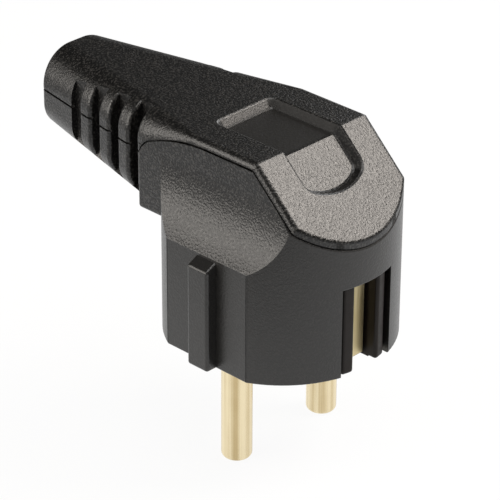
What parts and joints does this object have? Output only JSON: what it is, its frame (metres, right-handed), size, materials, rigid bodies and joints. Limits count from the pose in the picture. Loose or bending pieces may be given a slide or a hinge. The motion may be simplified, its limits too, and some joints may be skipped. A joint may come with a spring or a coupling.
{
  "type": "angled plug",
  "caption": "Angled rewirable mains plug with round pins, side earth contacts, a sloping lid with a thumb recess and a ribbed cable neck.",
  "frame": {"origin": "centre of the pin face, where the plug meets the socket", "axes": "+X through both pins, +Y towards the cable end, +Z away from the pins"},
  "size_m": [0.036, 0.063, 0.0527],
  "materials": {
    "base_plastic": "black moulded plastic, fine eroded texture above, smooth skirt",
    "cover_plastic": "black moulded plastic, fine eroded texture",
    "carrier_plastic": "black moulded plastic, smooth",
    "clamp_plastic": "black moulded plastic, smooth",
    "pin_brass": "turned pale brass",
    "earth_brass": "rolled and folded brass strip",
    "screw_steel": "zinc-plated steel"
  },
  "bodies": {
    "root": {"base_shell": "base_plastic", "cover": "cover_plastic", "contact_carrier": "carrier_plastic", "line_pin": "pin_brass", "neutral_pin": "pin_brass", "pin_terminal_screws": "screw_steel", "earth_strap": "earth_brass", "earth_sleeve": "earth_brass", "earth_washer": "screw_steel", "earth_screw": "screw_steel", "cable_clamp_bar": "clamp_plastic", "cable_clamp_screws": "screw_steel", "housing_screw": "screw_steel"}
  },
  "joints": []
}
